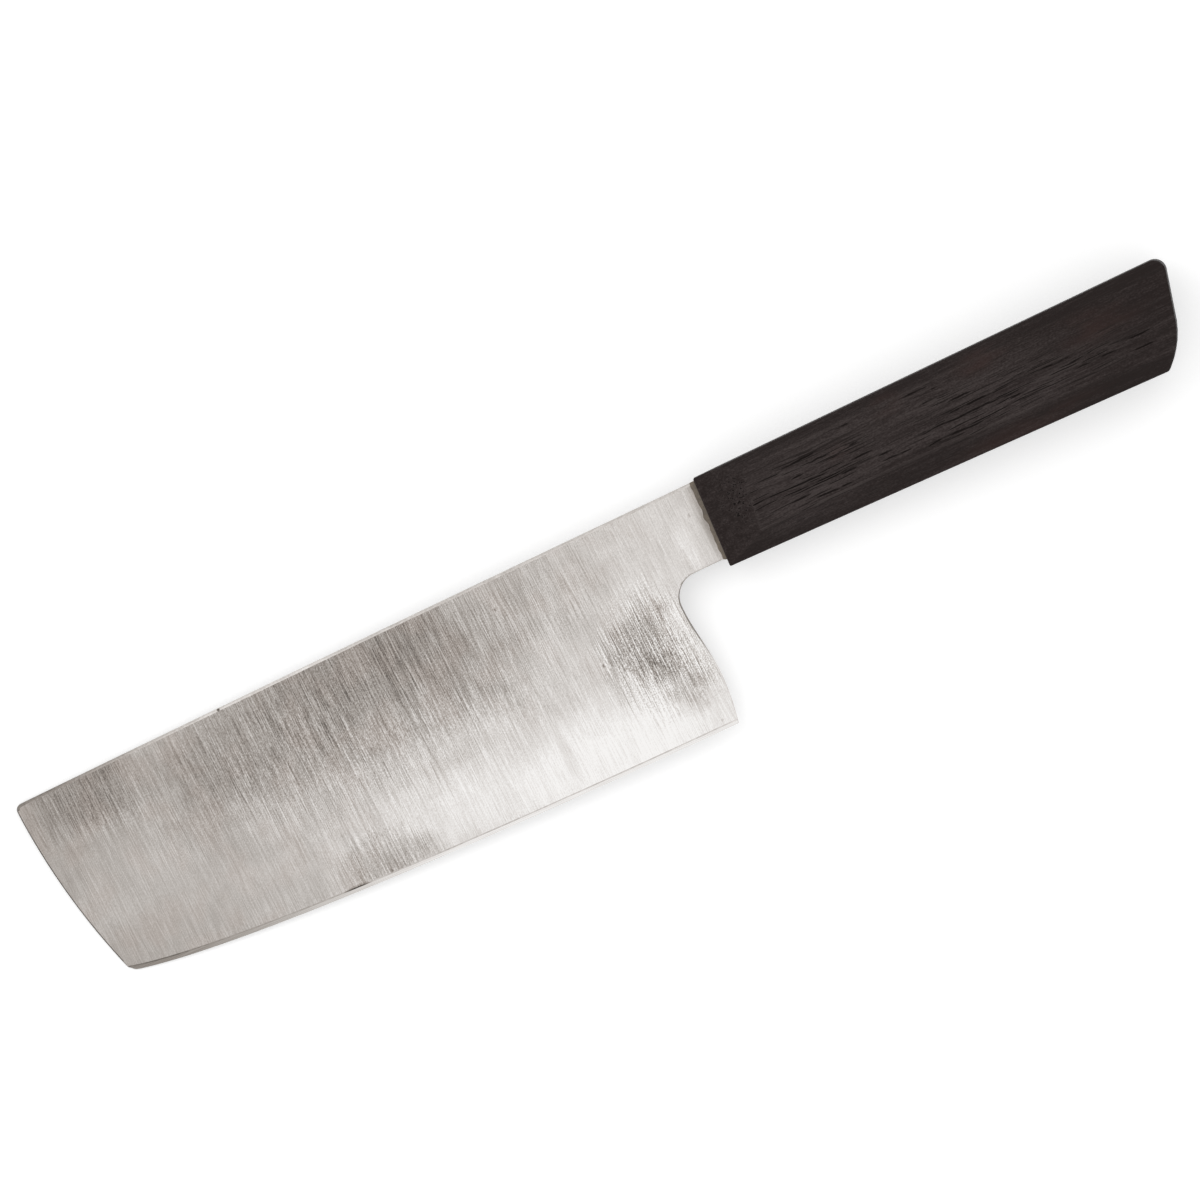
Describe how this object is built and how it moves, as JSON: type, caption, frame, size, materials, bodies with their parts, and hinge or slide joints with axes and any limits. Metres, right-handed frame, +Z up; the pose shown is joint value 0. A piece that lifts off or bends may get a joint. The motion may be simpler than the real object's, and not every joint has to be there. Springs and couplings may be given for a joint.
{
  "type": "nakiri knife",
  "caption": "Nakiri vegetable knife: tall straight-spined steel blade with a rounded-off toe and a faceted dark wooden handle bedded on its tang.",
  "frame": {"origin": "on the surface the knife lies on, under the middle of its overall box", "axes": "+X from the blade's tip to the handle's butt, +Y from the cutting edge to the spine, +Z up from the surface. The knife lies on its side at rest, so its mid-plane is pitched about 2.5 degrees tip-down and leans about 1.1 degrees towards the edge; the mounts' axes give the exact tilt."},
  "size_m": [0.3044, 0.0578, 0.0232],
  "materials": {
    "steel": "satin, finely brushed across the blade from spine to edge, with faint smudges",
    "dark_wood": "very dark brown, fine open pores along the grain, dull oiled sheen",
    "filler": "cured brown-grey filler, matt"
  },
  "bodies": {
    "root": {"blade": "steel", "handle": "dark_wood", "tang_bedding": "filler", "mouth_bead": "filler"}
  },
  "joints": []
}
